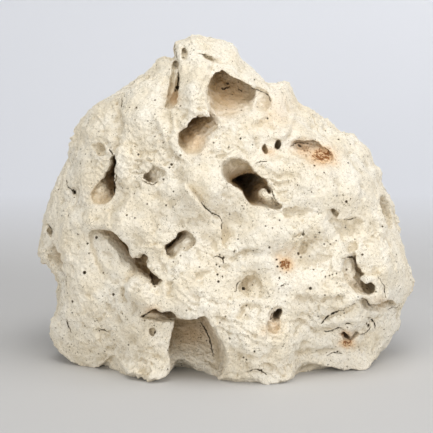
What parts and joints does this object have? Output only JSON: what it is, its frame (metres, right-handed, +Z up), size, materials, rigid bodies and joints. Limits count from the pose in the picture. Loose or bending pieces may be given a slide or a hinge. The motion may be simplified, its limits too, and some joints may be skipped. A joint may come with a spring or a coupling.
{
  "type": "terrarium rock",
  "caption": "One lump of pale, water-worn limestone with deep hollows, ledges and small pores, standing on worn feet; a hide and climbing stone for a terrarium.",
  "frame": {"origin": "on the ground, under the middle of the rock's bounding box", "axes": "+X to the right across the face with the hollows, which looks along -Y; +Z up"},
  "size_m": [0.2466, 0.1594, 0.2081],
  "materials": {
    "limestone": "rough, chalky cream limestone, tan inside the hollows, with a few rust-brown stains"
  },
  "bodies": {
    "root": {"rock": "limestone"}
  },
  "joints": []
}
